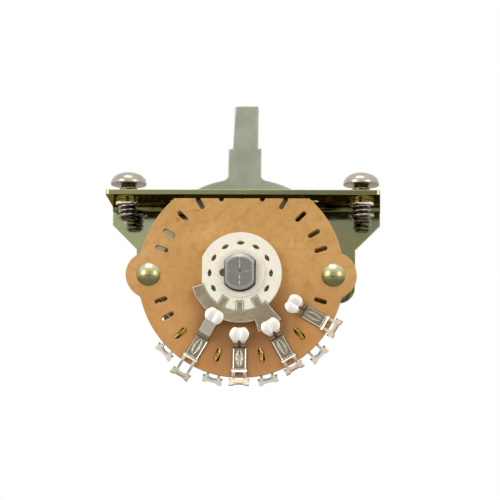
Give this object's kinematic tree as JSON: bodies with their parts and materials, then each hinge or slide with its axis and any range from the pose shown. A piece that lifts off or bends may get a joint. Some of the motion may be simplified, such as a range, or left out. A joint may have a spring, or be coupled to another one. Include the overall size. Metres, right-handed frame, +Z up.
{
  "type": "guitar pickup selector switch",
  "caption": "Lever-operated wafer switch on a folded steel bracket: slotted mounting plate, lever and shaft, nylon rotor in a punched board, spring contact clips with solder lugs.",
  "frame": {"origin": "midway between the two mounting screw holes, on the plate's top face, which lies against the control panel", "axes": "+Z up out of the panel along the lever, +X along the plate in the lever's direction of swing, and the contact wafer faces -Y"},
  "size_m": [0.048, 0.0206, 0.0509],
  "materials": {
    "yellow_zinc": "bright zinc with an olive-yellow passivation, semi-gloss",
    "lever_zinc": "dull zinc plate, grey-green, matte",
    "phenolic_board": "paper-phenolic board, punched, matte tan",
    "contact_silver": "silver-plated spring bronze, bright",
    "nickel_plate": "nickel plate, semi-gloss",
    "screw_nickel": "nickel-plated steel, warm grey, satin",
    "dark_steel": "turned steel, dark grey, satin",
    "spring_steel": "tempered spring steel, semi-gloss",
    "turned_brass": "turned brass, semi-gloss",
    "rotor_nylon": "moulded nylon, cream white, soft sheen"
  },
  "bodies": {
    "root": {"bracket": "yellow_zinc", "bearing_bushing": "turned_brass", "spacer_left": "nickel_plate", "spacer_right": "nickel_plate", "rivet_left": "yellow_zinc", "rivet_right": "yellow_zinc", "wafer": "phenolic_board", "front_clip_common": "contact_silver", "front_clip_1": "contact_silver", "front_clip_2": "contact_silver", "front_clip_3": "contact_silver", "rear_clip_common": "contact_silver", "rear_clip_1": "contact_silver", "rear_clip_2": "contact_silver", "rear_clip_3": "contact_silver", "mounting_screw_left": "screw_nickel", "mounting_screw_right": "screw_nickel", "index_spring": "spring_steel"},
    "lever": {"lever": "lever_zinc", "shaft": "dark_steel", "thrust_washer": "nickel_plate", "retaining_ring": "dark_steel", "rotor_front": "rotor_nylon", "rotor_rear": "rotor_nylon", "front_blade": "contact_silver", "rear_blade": "contact_silver"},
    "detent": {"roller_yoke": "nickel_plate", "roller_pin": "dark_steel"},
    "roller": {"detent_roller": "turned_brass"}
  },
  "joints": [
    {"name": "lever_swing", "type": "hinge", "parent": "root", "child": "lever", "pos_m": [0, 0, -0.0152], "axis": [0, 1, 0], "range_deg": [-30, 30]},
    {"name": "detent_follow", "type": "slide", "parent": "root", "child": "detent", "axis": [0, 0, -1], "range_m": [0, 0.0004], "stiffness_N_per_m": 2000, "deforming": ["index_spring"]},
    {"name": "roller_spin", "type": "hinge", "parent": "detent", "child": "roller", "pos_m": [0, 0, -0.02605], "axis": [0, 1, 0], "range_deg": [-150, 150]}
  ],
  "couplings": [
    {"joint": "roller_spin", "follows": "lever_swing", "ratio": -5}
  ]
}
